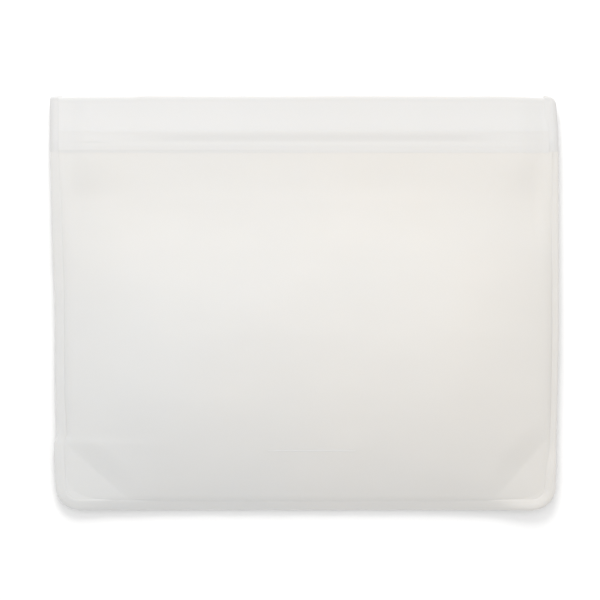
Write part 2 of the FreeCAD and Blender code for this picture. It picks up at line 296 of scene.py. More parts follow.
    def inner_edge(self, side: Side, y: np.ndarray) -> np.ndarray:
        """Where the wall meets the bonded edge on one side, rounding the bottom corner.

        Args:
            side: The side of the bag.
            y: Places along the bag.

        Returns:
            The place across the bag at each y.
        """
        centre_x, centre_y = self.corner_centre(side)
        radius = self.corner_radius - self.seam_width
        below = np.clip(centre_y - y, 0.0, radius)
        corner = np.sqrt(np.maximum(radius**2 - below**2, 0.0))
        if side is Side.LEFT:
            straight = self.outer_left(y) + self.seam_width
            return np.where(y < centre_y, centre_x - corner, straight)
        straight = self.outer_right(y) - self.seam_width
        return np.where(y < centre_y, centre_x + corner, straight)

    @property
    def wall_start(self) -> float:
        """Where the walls leave the bottom seam."""
        return self.bottom + self.seam_width

    def plate_level(self, x: np.ndarray) -> np.ndarray:
        """How far the outside of a zip plate stands from the bond, at each place across."""
        shut, open_level = self.closing(x), self.plate_top - self.bond - 0.25 * MM
        return open_level * (1.0 - shut) + (self.half_seam + 0.45 * MM) * shut

    def foot_step(self, x: np.ndarray) -> np.ndarray:
        """How far the zip plates stand proud of the walls, less toward the right."""
        return self.foot_height * (0.4 + 0.6 * ease((40.0 * MM - x) / (100.0 * MM)))

    def foot_level(self, x: np.ndarray) -> np.ndarray:
        """How far from the bond the walls run in under the zip plates."""
        return self.plate_level(x) - self.foot_step(x) - self.foot_gap

    def front_height(self, x: np.ndarray, y: np.ndarray) -> np.ndarray:
        """The outside of the front wall.

        The wall swells from its bonded edges, stays low and flat in the two bottom corners, and
        runs level into the closure.

        Args:
            x: Places across the bag.
            y: Places along the bag.

        Returns:
            The height at each place.
        """
        from_left = x - self.inner_edge(Side.LEFT, y) + self.tuck
        from_right = self.inner_edge(Side.RIGHT, y) - x + self.right_tuck
        swell = self.crown - self.slack - self.bond - self.rim_rise
        along = curve(self.front_profile, y)
        left_rise = self._side_rise(from_left, self.left_spring)
        height = swell * along * (left_rise * self._side_rise(from_right, self.right_spring))
        for side in Side:
            height = blended_least(height, self._corner_rise(side, x, y), self.corner_softness)
        inside = ease(np.minimum(from_left, from_right) / self.side_ease)
        inside = inside * ease((y - self.wall_start) / self.bottom_ease)
        height = self.rim_rise + np.maximum(height + inside * self._softness(x, y), 0.0)
        into_closure = ease(1.0 - (self.closure_foot - y) / self.front_level_run)
        return self.bond + height + into_closure * (self.foot_level(x) - height)

    def _side_rise(self, inward: np.ndarray, spring_share: float) -> np.ndarray:
        """How much of the full height a wall has at a way in from its side seam.

        It springs up a little where the seam lets it go, and climbs gently from there.

        Args:
            inward: How far in each place is.
            spring_share: The share of the height that it springs up.

        Returns:
            The share of the full height.
        """
        spring = 1.0 - np.exp(-np.maximum(inward, 0.0) / self.spring_depth)
        climb = 1.0 - (1.0 - np.clip(inward / self.shoulder_run, 0.0, 1.0)) ** self.climb_power
        return spring_share * spring + (1.0 - spring_share) * climb

    @staticmethod
    def _shoulder(share: np.ndarray) -> np.ndarray:
        """Swell fast from a bonded edge, and level out toward the middle of the wall."""
        soft = 0.06
        eased = (np.hypot(np.maximum(share, 0.0), soft) - soft) / (math.hypot(1.0, soft) - soft)
        return 1.0 - (1.0 - np.clip(eased, 0.0, 1.0)) ** 2.2

    def _corner_rise(self, side: Side, x: np.ndarray, y: np.ndarray) -> np.ndarray:
        """The low flat triangle of a bottom corner, and the slope that leaves it.

        Args:
            side: The side of the bag.
            x: Places across the bag.
            y: Places along the bag.

        Returns:
            The highest the wall may be at each place.
        """
        edge, cut = (self.left, self.left_cut) if side is Side.LEFT else (self.right, self.right_cut)
        across_cut, up_cut = cut
        inward = (x - edge) * -side.value
        upward = y - self.bottom
        beyond = inward / across_cut + upward / up_cut - 1.0
        beyond = beyond / math.hypot(1.0 / across_cut, 1.0 / up_cut)
        steep = beyond * (self.corner_slope + beyond / self.corner_steepening)
        return self.corner_level + np.where(beyond > 0.0, steep, beyond * self.corner_tilt)

    def _softness(self, x: np.ndarray, y: np.ndarray) -> np.ndarray:
        """The small dents and swells that soft silicone takes.

        Args:
            x: Places across the bag.
            y: Places along the bag.

        Returns:
            How far each place stands above or below an even wall.
        """
        swell = 0.32 * MM * ripples(x, y, 96.0 * MM, 0.4) + 0.12 * MM * ripples(x, y, 41.0 * MM, 2.2)
        for centre_x, centre_y, reach_x, reach_y, depth in self.dents:
            away = ((x / MM - centre_x) / reach_x) ** 2 + ((y / MM - centre_y) / reach_y) ** 2
            swell = swell - depth * MM * np.exp(-away)
        return swell

    def back_height(self, x: np.ndarray, y: np.ndarray) -> np.ndarray:
        """The outside of the back wall, which lies flat but for its rising edges.

        Args:
            x: Places across the bag.
            y: Places along the bag.

        Returns:
            The height at each place.
        """
        side_run, bottom_run = self.back_edge_run
        from_left = (x - self.inner_edge(Side.LEFT, y) + self.tuck) / side_run
        from_right = (self.inner_edge(Side.RIGHT, y) - x + self.right_tuck) / side_run
        from_bottom = (y - self.wall_start + self.tuck) / bottom_run
        drop = self._shoulder(from_left) * self._shoulder(from_right) * self._shoulder(from_bottom)
        depth = self.rim_rise + (self.bond - self.rim_rise) * drop
        into_closure = ease(1.0 - (self.closure_foot - y) / self.back_level_run)
        return self.bond - depth - into_closure * (self.foot_level(x) - depth)

    def closing(self, x: np.ndarray) -> np.ndarray:
        """How far the mouth's two plates close on the bond: 0 along the zip, 1 at its welds."""
        inset, run = self.weld_run
        return ease((np.abs(x) - (self.right - self.seam_width - inset)) / run)


# --- Meshes ---


def spaced(start: float, stop: float, count: int, crowding: float = 0.0) -> np.ndarray:
    """Space places out evenly, or crowded toward both ends.

    Args:
        start: The first place.
        stop: The last place.
        count: How many there are.
        crowding: How far they crowd toward both ends, from 0 to 1.

    Returns:
        The places.
    """
    even = np.linspace(0.0, 1.0, count)
    crowded = 0.5 - 0.5 * np.cos(math.pi * even)
    return start + (stop - start) * ((1.0 - crowding) * even + crowding * crowded)


def place(bm: bmesh.types.BMesh, points: np.ndarray) -> None:
    """Put a mesh's vertices, in their order, at the given points."""
    for vertex, point in zip(bm.verts, points.reshape(-1, 3), strict=True):
        vertex.co = Vector(point)


def finished(bm: bmesh.types.BMesh, name: str) -> bpy.types.Object:
    """Turn a bmesh into a smooth-shaded piece of the scene.

    Args:
        bm: The mesh, which is freed.
        name: The piece's name.

    Returns:
        The new object, at the origin.
    """
    for edge in bm.edges:
        if edge.is_manifold and edge.calc_face_angle() > SHARP_TURN:
            edge.smooth = False
    mesh = bpy.data.meshes.new(name)
    bm.to_mesh(mesh)
    bm.free()
    for polygon in mesh.polygons:
        polygon.use_smooth = True
    piece = bpy.data.objects.new(name, mesh)
    bpy.context.scene.collection.objects.link(piece)
    return piece


def walled_sheet(name: str, points: np.ndarray, thickness: float) -> bpy.types.Object:
    """Make a closed sheet of even thickness from rows of points on its outside.

    Args:
        name: The piece's name.
        points: Rows of columns of points, shaped (rows, columns, 3).
        thickness: How thick the sheet is, inward from the points.

    Returns:
        The piece.
    """
    rows, columns, _ = points.shape
    bm = bmesh.new()
    bmesh.ops.create_grid(bm, x_segments=columns - 1, y_segments=rows - 1, size=1.0)
    place(bm, points)
    bmesh.ops.recalc_face_normals(bm, faces=bm.faces)
    bm.normal_update()
    if sum(face.normal.z for face in bm.faces) * math.copysign(1.0, thickness) < 0.0:
        bmesh.ops.reverse_faces(bm, faces=bm.faces)
    bmesh.ops.solidify(bm, geom=bm.faces[:], thickness=abs(thickness))
    return finished(bm, name)


def swept_solid(name: str, rings: np.ndarray) -> bpy.types.Object:
    """Make a closed solid through a row of closed cross-sections.

    Args:
        name: The piece's name.
        rings: The cross-sections' points, shaped (rings, points, 3), without a repeated point.

    Returns:
        The piece.
    """
    count, around, _ = rings.shape
    bm = bmesh.new()
    bmesh.ops.create_grid(bm, x_segments=around, y_segments=count - 1, size=1.0)
    place(bm, np.concatenate([rings, rings[:, :1]], axis=1))
    bmesh.ops.remove_doubles(bm, verts=bm.verts, dist=1e-8)
    ends = [edge for edge in bm.edges if edge.is_boundary]
    bmesh.ops.holes_fill(bm, edges=ends, sides=0)
    bmesh.ops.recalc_face_normals(bm, faces=bm.faces)
    return finished(bm, name)


# --- Finishes ---


def new_group(name: str, inputs: tuple[Socket, ...], outputs: tuple[Socket, ...]) -> bpy.types.NodeTree:
    """Start a shader node group with named sockets.

    Args:
        name: The group's name.
        inputs: Each input's name and socket type.
        outputs: Each output's name and socket type.

    Returns:
        The group, with its two end nodes.
    """
    group = bpy.data.node_groups.new(name, "ShaderNodeTree")
    for way, sockets in (("INPUT", inputs), ("OUTPUT", outputs)):
        for label, kind in sockets:
            group.interface.new_socket(label, in_out=way, socket_type=kind)
    group.nodes.new("NodeGroupInput").name = "in"
    group.nodes.new("NodeGroupOutput").name = "out"
    return group


@dataclass
class Wiring:
    """A node tree with short ways to add and join its nodes."""

    tree: bpy.types.NodeTree

    def add(self, kind: str, **settings: object) -> bpy.types.Node:
        """Add a node, set its plain properties, and return it."""
        node = self.tree.nodes.new(f"ShaderNode{kind}")
        for label, setting in settings.items():
            setattr(node, label, setting)
        return node

    def feed(self, socket: bpy.types.NodeSocket, value: Value) -> None:
        """Give an input what it reads.

        Args:
            socket: The input.
            value: Another node's output to join to it, or a plain number or colour.
        """
        if isinstance(value, bpy.types.NodeSocket):
            self.tree.links.new(value, socket)
        else:
            socket.default_value = (*value, 1.0) if isinstance(value, tuple) else value

    def noise(self, where: bpy.types.NodeSocket, scale: float, detail: float) -> bpy.types.NodeSocket:
        """Add a noise texture.

        Args:
            where: The coordinates that it reads.
            scale: How fine it is.
            detail: How many finer layers it has.

        Returns:
            Its value.
        """
        node = self.add("TexNoise")
        for label, value in (("Vector", where), ("Scale", scale), ("Detail", detail)):
            self.feed(node.inputs[label], value)
        return node.outputs["Fac"]

    def ramp(
        self, value: bpy.types.NodeSocket, start: tuple[float, float], end: tuple[float, float]
    ) -> bpy.types.NodeSocket:
        """Carry a value's range onto another range, held at both ends.

        Args:
            value: The value.
            start: Where its range starts, and what that becomes.
            end: Where its range ends, and what that becomes.

        Returns:
            The carried value.
        """
        node = self.add("MapRange")
        numbers = (value, start[0], end[0], start[1], end[1])
        for label, number in zip(("Value", "From Min", "From Max", "To Min", "To Max"), numbers):
            self.feed(node.inputs[label], number)
        return node.outputs["Result"]

    def work(self, operation: str, first: Value, second: Value) -> bpy.types.NodeSocket:
        """Do one sum on two values.

        Args:
            operation: The sum's name.
            first: The first value.
            second: The second value.

        Returns:
            The outcome.
        """
        node = self.add("Math", operation=operation)
        self.feed(node.inputs[0], first)
        self.feed(node.inputs[1], second)
        return node.outputs["Value"]

    def plus(self, first: Value, second: Value) -> bpy.types.NodeSocket:
        """Add two values."""
        return self.work("ADD", first, second)

    def times(self, first: Value, second: Value) -> bpy.types.NodeSocket:
        """Multiply two values."""
        return self.work("MULTIPLY", first, second)

    def swing(self, value: Value, size: Value) -> bpy.types.NodeSocket:
        """Take a value about its middle of one half, times a size."""
        return self.times(self.work("SUBTRACT", value, 0.5), size)

    def scale(self, colour: Value, share: Value) -> bpy.types.NodeSocket:
        """Darken or brighten a colour by a share.

        Args:
            colour: The colour.
            share: What to multiply it by.

        Returns:
            The new colour.
        """
        node = self.add("VectorMath", operation="SCALE")
        self.feed(node.inputs[0], colour)
        self.feed(node.inputs["Scale"], share)
        return node.outputs["Vector"]

    def mix(self, share: Value, first: Value, second: Value) -> bpy.types.NodeSocket:
        """Mix two colours.

        Args:
            share: How much of the second one there is.
            first: The first colour.
            second: The second colour.

        Returns:
            The mixed colour.
        """
        node = self.add("Mix", data_type="RGBA")
        colours = [socket for socket in node.inputs if socket.type == "RGBA"]
        for socket, value in ((node.inputs["Factor"], share), (colours[0], first), (colours[1], second)):
            self.feed(socket, value)
        return next(socket for socket in node.outputs if socket.type == "RGBA")


def frosted_silicone_group() -> bpy.types.NodeTree:
    """Build the effect that every silicone finish shares.

    It paints the light's colour cast on the silicone, cooler on its left and warmer on its right, clouds it
    softly, adds a frosted grain, faint flow streaks and a few tiny specks, and gives the bump for all of
    them.

    Returns:
        The node group.
    """
    group = new_group(
        "frosted_silicone",
        (
            ("Cool", COLOUR), ("Warm", COLOUR), ("Cloud", NUMBER), ("Roughness", NUMBER), ("Grain", NUMBER),
        ),
        (("Color", COLOUR), ("Roughness", NUMBER), ("Height", NUMBER)),
    )
    wires = Wiring(group)
    source, target = group.nodes["in"].outputs, group.nodes["out"].inputs
    where = wires.add("TexCoord").outputs["Object"]
    apart = wires.add("SeparateXYZ")
    wires.feed(apart.inputs["Vector"], where)

    # Painted light cast: cooler light on the left, warmer toward the right and top, with a random wobble.
    slant = wires.plus(apart.outputs["X"], wires.times(apart.outputs["Y"], 0.55))
    across = wires.ramp(slant, (-0.15, 0.0), (0.09, 1.0))
    painted_light_warmth = wires.plus(across, wires.swing(wires.noise(where, 9.0, 2.0), 0.9))
    tint = wires.mix(painted_light_warmth, source["Cool"], source["Warm"])

    cloud = wires.noise(where, 21.0, 4.0)
    fine = wires.noise(where, 420.0, 3.0)
    stretch = wires.add("Mapping")
    stretch.inputs["Scale"].default_value = (14.0, 90.0, 60.0)
    wires.feed(stretch.inputs["Vector"], where)
    streak = wires.noise(stretch.outputs["Vector"], 1.0, 3.0)
    mottle = wires.plus(wires.times(cloud, 0.6), wires.times(streak, 0.25))
    mottle = wires.plus(mottle, wires.times(fine, 0.15))
    bright = wires.plus(wires.swing(mottle, source["Cloud"]), 1.0)

    speck = wires.add("TexVoronoi")
    wires.feed(speck.inputs["Scale"], 34.0)
    wires.feed(speck.inputs["Vector"], where)
    bright = wires.times(bright, wires.ramp(speck.outputs["Distance"], (0.012, 0.9), (0.022, 1.0)))
    wires.feed(target["Color"], wires.scale(tint, bright))

    frost = wires.noise(where, 1900.0, 2.0)
    rough = wires.plus(source["Roughness"], wires.swing(cloud, 0.14))
    wires.feed(target["Roughness"], wires.plus(rough, wires.swing(frost, 0.10)))

    grain = wires.times(frost, source["Grain"])
    relief = wires.plus(wires.times(grain, 0.25), wires.times(fine, 0.45))
    wires.feed(target["Height"], wires.plus(relief, wires.times(streak, 1.2)))
    return group


@dataclass(frozen=True)
class SiliconeFinish:
    """One frosted silicone finish, made from the shared group."""

    name: str
    slot: str
    cool: tuple[float, float, float]
    warm: tuple[float, float, float]
    cloud: float = 0.05
    roughness: float = 0.52
    grain: float = 1.0
    bump: float = 0.10
    bump_depth: float = 0.2 * MM
    ior: float = 1.41
    gleam: float = 0.4
    glow: float = 0.2
    glow_depth: float = 0.8 * MM
    glow_spread: tuple[float, float, float] = (1.0, 0.92, 0.78)
    # How far painted shade darkens the colour where the shade attribute is full.
    painted_shade: float = 0.0

    def material(self, group: bpy.types.NodeTree) -> bpy.types.Material:
        """Build the finish's material.

        Args:
            group: The shared frosted silicone group.

        Returns:
            The material.
        """
        material = bpy.data.materials.new(self.name)
        material.use_nodes = True
        wires = Wiring(material.node_tree)
        shader = material.node_tree.nodes["Principled BSDF"]
        silicone = wires.add("Group")
        silicone.node_tree = group
        own = {"Cool": self.cool, "Warm": self.warm, "Cloud": self.cloud, "Roughness": self.roughness}
        for label, value in {**own, "Grain": self.grain}.items():
            wires.feed(silicone.inputs[label], value)
        colour = silicone.outputs["Color"]
        # Painted shade: darken the colour by the mesh's shade attribute.
        if self.painted_shade > 0.0:
            thin = wires.add("Attribute", attribute_name=PAINTED_SHADE_ATTRIBUTE).outputs["Fac"]
            colour = wires.scale(colour, wires.work("SUBTRACT", 1.0, wires.times(thin, self.painted_shade)))
        bump = wires.add("Bump")
        wires.feed(bump.inputs["Strength"], self.bump)
        wires.feed(bump.inputs["Distance"], self.bump_depth)
        wires.feed(bump.inputs["Height"], silicone.outputs["Height"])
        wires.feed(shader.inputs["Base Color"], colour)
        wires.feed(shader.inputs["Roughness"], silicone.outputs["Roughness"])
        wires.feed(shader.inputs["Normal"], bump.outputs["Normal"])
        wires.feed(shader.inputs["IOR"], self.ior)
        wires.feed(shader.inputs["Specular IOR Level"], self.gleam)
        wires.feed(shader.inputs["Subsurface Weight"], self.glow)
        wires.feed(shader.inputs["Subsurface Scale"], self.glow_depth)
        shader.inputs["Subsurface Radius"].default_value = self.glow_spread
        return material


class Finish(Enum):
    """The finishes of the bag."""

    WALL = SiliconeFinish("wall_silicone", "wall_silicone", (0.655, 0.656, 0.649), (0.676, 0.655, 0.622))
    LIP = SiliconeFinish(
        "lip_silicone", "lip_silicone", (0.668, 0.668, 0.668), (0.674, 0.667, 0.655), cloud=0.04,
    )
    # Its painted shade darkens the groove between the beads and the crease along the plates' foot.
    CLOSURE = SiliconeFinish(
        "closure_silicone", "closure_silicone", (0.657, 0.657, 0.653), (0.663, 0.653, 0.637),
        cloud=0.04, roughness=0.46, painted_shade=0.05,
    )
    SEAM = SiliconeFinish(
        "seam_silicone", "seam_silicone", (0.650, 0.651, 0.645), (0.670, 0.651, 0.622),
        cloud=0.06, roughness=0.46,
    )
    # Its painted shade darkens the weld's outer rim, where it bends away from the light.
    WELD = SiliconeFinish(
        "weld_silicone", "seam_silicone", (0.662, 0.662, 0.662), (0.668, 0.661, 0.650),
        cloud=0.04, painted_shade=0.06,
    )
    TRACK = SiliconeFinish(
        "track_silicone", "track_silicone", (0.673, 0.673, 0.668), (0.681, 0.668, 0.651),
        roughness=0.42, grain=0.5,
    )
    # The raised line's lighter colour is a painted highlight, for the light that catches it.
    MARK = SiliconeFinish(
        "mark_silicone", "mark_silicone", (0.735, 0.730, 0.720), (0.745, 0.730, 0.705), roughness=0.5,
    )


class Wardrobe:
    """The materials, each built once when it is first asked for."""

    def __init__(self) -> None:
        """Build the shared group."""
        self.group = frosted_silicone_group()
        self.made: dict[Finish, bpy.types.Material] = {}

    def dress(self, piece: bpy.types.Object, finish: Finish) -> None:
        """Give a piece its finish."""
        if finish not in self.made:
            self.made[finish] = finish.value.material(self.group)
        piece.data.materials.clear()
        piece.data.materials.append(self.made[finish])


# --- Baking and marking ---


def points_of(piece: bpy.types.Object) -> np.ndarray:
    """Every vertex of a piece, shaped (vertices, 3)."""
    flat = np.zeros(len(piece.data.vertices) * 3)
    piece.data.vertices.foreach_get("co", flat)
    return flat.reshape(-1, 3)


def share_between(piece: bpy.types.Object) -> None:
    """Bake the piece's placement into its mesh.

    Args:
        piece: The piece, with its mesh final.
    """
    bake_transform(piece)


def follow_mouth(piece: bpy.types.Object) -> None:
    """Bake a front piece's placement into its mesh."""
    at = points_of(piece)
    share_between(piece)


def mark_painted_shade(piece: bpy.types.Object, shares: np.ndarray) -> None:
    """Note on each vertex how much painted shade darkens it, for its finish."""
    thin = piece.data.attributes.new(PAINTED_SHADE_ATTRIBUTE, "FLOAT", "POINT")
    thin.data.foreach_set("value", shares.astype(np.float32))


# --- Sub-assemblies ---


@dataclass
class SubAssembly:
    """What every sub-assembly has: the bag's form, its materials and a way to hand over a piece."""

    form: BagForm
    wardrobe: Wardrobe

    def hand_over(self, piece: bpy.types.Object, finish: Finish, moves: bool, *nodes: str) -> None:
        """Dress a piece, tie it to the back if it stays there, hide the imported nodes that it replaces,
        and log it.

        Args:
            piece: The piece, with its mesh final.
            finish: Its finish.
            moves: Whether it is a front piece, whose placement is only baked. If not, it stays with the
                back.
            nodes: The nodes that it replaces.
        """
        self.wardrobe.dress(piece, finish)
        if moves:
            follow_mouth(piece)
        else:
            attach(piece, Body.BACK.value)
        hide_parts(*nodes)
        self.report(piece)

    @staticmethod
    def report(piece: bpy.types.Object) -> None:
        """Log a piece."""
        LOG.info("%s: %d vertices", piece.name, len(piece.data.vertices))


@dataclass
class Walls(SubAssembly):
    """The two puffed sheets, with the thin raised line on the front one."""

    thickness: float = 1.1 * MM
    rows: int = 170
    columns: int = 230
    line_width: float = 0.8 * MM
    line_height: float = 0.05 * MM
    line_taper: float = 4.0 * MM

    def build(self) -> None:
        """Build, dress and place the walls and the line."""
        self._front()
        self._back()
        self._line()

    def _grid(self, height: Callable[[np.ndarray, np.ndarray], np.ndarray]) -> np.ndarray:
        """Rows of points on the outside of a wall, from the bottom seam to the closure.

        Args:
            height: The wall's height at places across and along.

        Returns:
            The points, shaped (rows, columns, 3).
        """
        form = self.form
        y = spaced(form.wall_start - form.tuck, form.closure_foot + 0.3 * MM, self.rows, 0.75)[:, None]
        share = spaced(0.0, 1.0, self.columns, 0.8)[None, :]
        left = form.inner_edge(Side.LEFT, y) - form.tuck
        right = form.inner_edge(Side.RIGHT, y) + form.right_tuck
        x = left + share * (right - left)
        y = np.broadcast_to(y, x.shape)
        return np.stack([x, y, height(x, y)], axis=-1)

    def _front(self) -> None:
        """The puffed front sheet."""
        piece = walled_sheet("front_wall_skin", self._grid(self.form.front_height), self.thickness)
        self.hand_over(piece, Finish.WALL, True, "front_wall")

    def _back(self) -> None:
        """The back sheet that the bag lies on."""
        piece = walled_sheet("back_wall_skin", self._grid(self.form.back_height), -self.thickness)
        self.hand_over(piece, Finish.WALL, False, "back_wall")

    def _line(self) -> None:
        """The thin raised line low on the front wall, which thins out at both ends."""
        low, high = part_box("mark_line")
        x = spaced(low.x, high.x, 60, 0.7)
        y = np.full_like(x, (low.y + high.y) / 2.0)
        taper = ease((x - low.x) / self.line_taper) * ease((high.x - x) / self.line_taper)
        swell = 0.15 + 0.85 * taper
        rings = []
        for angle in np.linspace(0.0, 2.0 * math.pi, 12, endpoint=False):
            across = self.line_width / 2.0 * math.cos(angle) * (0.5 + 0.5 * taper)
            above = self.line_height * math.sin(angle) * swell
            on_wall = self.form.front_height(x, y + across)
            rings.append(np.stack([x, y + across, on_wall + above], axis=-1))
        piece = swept_solid("mark_line_rib", np.stack(rings, axis=1))
        # Its finish paints a highlight along the line.
        self.hand_over(piece, Finish.MARK, True, "mark_line")


@dataclass
class BondedEdge(SubAssembly):
    """The flat seam round three sides, and the welds that carry it up past the closure."""

    side_steps: int = 150
    corner_steps: int = 22
    bottom_steps: int = 190
    corner_lift: float = 1.6 * MM
    weld_overrun: float = 0.7 * MM
    weld_overlap: float = 0.6 * MM
    weld_swell: float = 0.45 * MM
    # How far in from the weld's outer edge the painted shade reaches.
    painted_rim_width: float = 3.2 * MM

    # Each point of the seam's cross-section: its share of the way out, and its share of the
    # half thickness, up or down.
    SECTION = (
        (0.00, 0.60), (0.03, 0.84), (0.09, 0.98), (0.22, 1.03), (0.45, 1.00), (0.68, 1.03),
        (0.84, 1.00), (0.93, 0.86), (0.98, 0.58), (1.00, 0.18), (1.00, -0.18), (0.98, -0.58),
        (0.93, -0.86),
        (0.84, -1.00), (0.45, -1.02), (0.09, -0.98), (0.03, -0.84), (0.00, -0.60),
    )

    # The welds' cross-section, which rounds over more toward the outside.
    WELD_SECTION = (
        (0.00, 0.90), (0.12, 0.97), (0.30, 1.00), (0.48, 0.99), (0.62, 0.94), (0.75, 0.84), (0.86, 0.68),
        (0.94, 0.46), (0.99, 0.20), (1.00, 0.00), (0.99, -0.30), (0.95, -0.62), (0.86, -0.88),
        (0.72, -1.00), (0.40, -1.02), (0.12, -0.98), (0.00, -0.90),
    )

    def build(self) -> None:
        """Build, dress and place the seam and the two welds."""
        self._seam()
        for side in Side:
            self._weld(side)

    def _ring(
        self, inner: np.ndarray, outer: np.ndarray, half_heights: np.ndarray, droop: np.ndarray,
        outline: Knots, lift: np.ndarray | float = 0.0,
    ) -> np.ndarray:
        """Cross-sections between an inner and an outer line.

        Args:
            inner: Points of the inner line, shaped (rings, 2).
            outer: Points of the outer line, shaped (rings, 2).
            half_heights: The seam's half thickness at each ring.
            droop: How far the outer line hangs below the inner one at each ring.
            outline: The cross-section to use.
            lift: How much thicker the rim near the outer line is above at each ring.

        Returns:
            The rings, shaped (rings, points, 3).
        """
        section = np.array(outline)
        way = section[None, :, 0, None]
        flat = inner[:, None, :] * (1.0 - way) + outer[:, None, :] * way
        hang = droop[:, None] * section[None, :, 0] ** 1.3
        upper = ease(section[None, :, 1] / 0.6) * ease(section[None, :, 0] / 0.75)
        hang = hang - np.broadcast_to(lift, len(inner))[:, None] * upper
        up = self.form.bond + half_heights[:, None] * section[None, :, 1] - hang
        return np.concatenate([flat, up[..., None]], axis=-1)

    def _seam(self) -> None:
        """The seam: down the left, round both bottom corners and up the right."""
        form, radius, width = self.form, self.form.corner_radius, self.form.seam_width
        inner, outer, droop = [], [], []
        corner_y = form.bottom + radius
        down = spaced(form.closure_foot + 0.4 * MM, corner_y, self.side_steps)
        left, right = form.outer_left(down), form.outer_right(down)
        outer.append(np.stack([left, down], axis=-1))
        inner.append(np.stack([left + width, down], axis=-1))
        droop.append(curve(form.left_droop, down))
        for side, first in ((Side.LEFT, math.pi), (Side.RIGHT, 1.5 * math.pi)):
            centre = np.array(form.corner_centre(side))
            turn = spaced(first, first + 0.5 * math.pi, self.corner_steps)[1:-1]
            way = np.stack([np.cos(turn), np.sin(turn)], axis=-1)
            if side is Side.RIGHT:
                self._bottom_run(inner, outer, droop)
            outer.append(centre + way * radius)
            inner.append(centre + way * (radius - width))
            droop.append(np.full(len(turn), form.bottom_droop[0 if side is Side.LEFT else -1][1]))
        outer.append(np.stack([right, down], axis=-1)[::-1])
        inner.append(np.stack([right - width, down], axis=-1)[::-1])
        droop.append(curve(form.right_droop, down)[::-1])
        inner_line, outer_line = np.concatenate(inner), np.concatenate(outer)
        length = np.arange(len(inner_line))
        uneven = 1.0 + 0.05 * np.sin(length * 0.33) + 0.04 * np.sin(length * 0.13 + 1.0)
        lift = self.corner_lift * ease((inner_line[:, 0] - 96.0 * MM) / (16.0 * MM))
        lift = lift * ease((-70.0 * MM - inner_line[:, 1]) / (16.0 * MM))
        rings = self._ring(
            inner_line, outer_line, form.half_seam * uneven, np.concatenate(droop), self.SECTION, lift
        )
        self.hand_over(
            swept_solid("bonded_seam", rings), Finish.SEAM, False,
            "left_side_seam", "left_corner_seam", "bottom_seam", "right_corner_seam", "right_side_seam",
        )

    def _bottom_run(
        self, inner: list[np.ndarray], outer: list[np.ndarray], droop: list[np.ndarray]
    ) -> None:
        """Add the straight run along the bottom.

        Args:
            inner: The seam's inner line so far.
            outer: Its outer line so far.
            droop: Its droop so far.
        """
        form = self.form
        start, stop = form.corner_centre(Side.LEFT)[0], form.corner_centre(Side.RIGHT)[0]
        x = spaced(start, stop, self.bottom_steps)
        waver = 0.12 * MM * np.sin((x - start) / (stop - start) * 9.0 * math.pi)
        outer.append(np.stack([x, form.bottom - 0.3 * MM + np.abs(waver)], axis=-1))
        inner.append(np.stack([x, np.full_like(x, form.wall_start)], axis=-1))
        droop.append(curve(form.bottom_droop, x))

    def _weld(self, side: Side) -> None:
        """One weld, where the zip and the lips are crushed together and bonded.

        Args:
            side: The side of the bag that it is on.
        """
        form, top = self.form, self.form.top + self.weld_overrun
        if side is Side.LEFT:
            edge, radius, hang = form.outer_left, form.left_top_radius, form.left_droop[-1][1]
        else:
            edge, radius, hang = form.outer_right, form.right_top_radius, form.right_droop[-1][1]
        y = np.concatenate([
            spaced(form.closure_foot, form.top - 6.0 * MM, 46)[:-1],
            spaced(form.top - 6.0 * MM, top, 26),
        ])
        into_corner = np.clip(y - (top - radius), 0.0, radius)
        rounding = radius - np.sqrt(radius**2 - into_corner**2)
        outer = np.stack([edge(y) - side.value * rounding, y], axis=-1)
        inner = np.stack([edge(y) - side.value * (form.seam_width + self.weld_overlap), y], axis=-1)
        taper = 1.0 - 0.40 * ease((y - (form.top - 0.5 * MM)) / (1.2 * MM))
        swell = self.weld_swell * ease((y - form.closure_foot) / (7.0 * MM))
        half_heights = (form.half_seam + swell) * taper
        rings = self._ring(inner, outer, half_heights, np.full(len(y), hang), self.WELD_SECTION)
        name = side.name.lower()
        piece = swept_solid(f"{name}_mouth_weld", rings)
        at = points_of(piece)
        inward = np.minimum(np.abs(edge(at[:, 1]) - at[:, 0]), top - at[:, 1])
        # Painted shade along the weld's outer rim.
        mark_painted_shade(piece, 1.0 - ease(inward / self.painted_rim_width))
        self.hand_over(piece, Finish.WELD, False, f"{name}_closure_end", f"{name}_lip_end")


